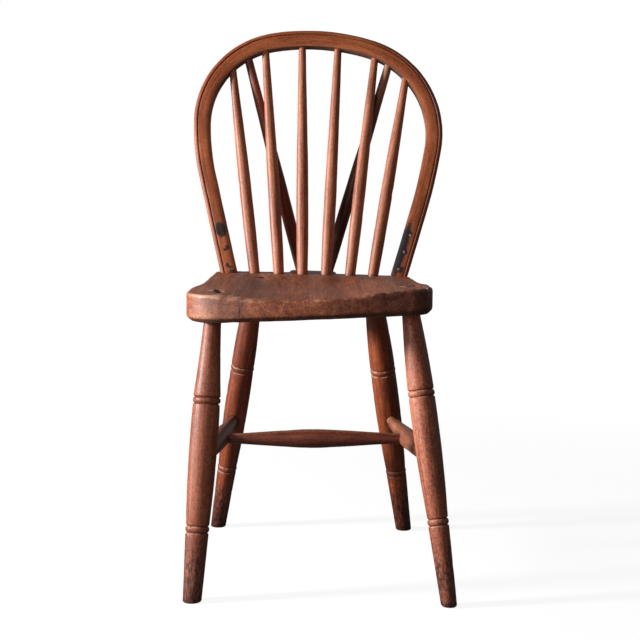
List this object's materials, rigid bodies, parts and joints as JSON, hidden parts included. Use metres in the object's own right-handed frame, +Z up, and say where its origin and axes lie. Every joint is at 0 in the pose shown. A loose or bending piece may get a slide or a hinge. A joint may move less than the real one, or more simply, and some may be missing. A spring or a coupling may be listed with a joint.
{
  "type": "hoop-back stick dining chair",
  "caption": "Hoop-back Windsor kitchen chair: dished seat with a tail, bent bow with sticks and braces, turned legs and an H-shaped stretcher.",
  "frame": {"origin": "middle of the chair's footprint on the floor, under the centre of its overall box", "axes": "+Z up, the front of the chair faces -Y, +X is to the right as seen from the front"},
  "size_m": [0.4196, 0.4738, 0.8551],
  "materials": {
    "elm_seat": "old waxed elm, saddled by use, dusty brown",
    "ash_hoop": "steam-bent ash, worn brown varnish, iron stains at the feet",
    "back_stick": "shaved ash or beech, waxed",
    "beech_leg": "turned beech, worn varnish",
    "pale_wedge": "dry oak end grain",
    "old_iron": "rusted iron nails"
  },
  "bodies": {
    "root": {"bow": "ash_hoop", "bow_nails": "old_iron", "brace_left": "back_stick", "brace_right": "back_stick", "leg_back_left": "beech_leg", "leg_back_right": "beech_leg", "leg_front_left": "beech_leg", "leg_front_right": "beech_leg", "seat": "elm_seat", "seat_nail": "old_iron", "stick_1": "back_stick", "stick_2": "back_stick", "stick_3": "back_stick", "stick_4": "back_stick", "stick_5": "back_stick", "stick_6": "back_stick", "stretcher_cross": "beech_leg", "stretcher_left": "beech_leg", "stretcher_right": "beech_leg", "wedge_back_left": "pale_wedge", "wedge_back_right": "pale_wedge", "wedge_bow_left": "pale_wedge", "wedge_bow_right": "pale_wedge", "wedge_front_left": "pale_wedge", "wedge_front_right": "pale_wedge"}
  },
  "joints": []
}
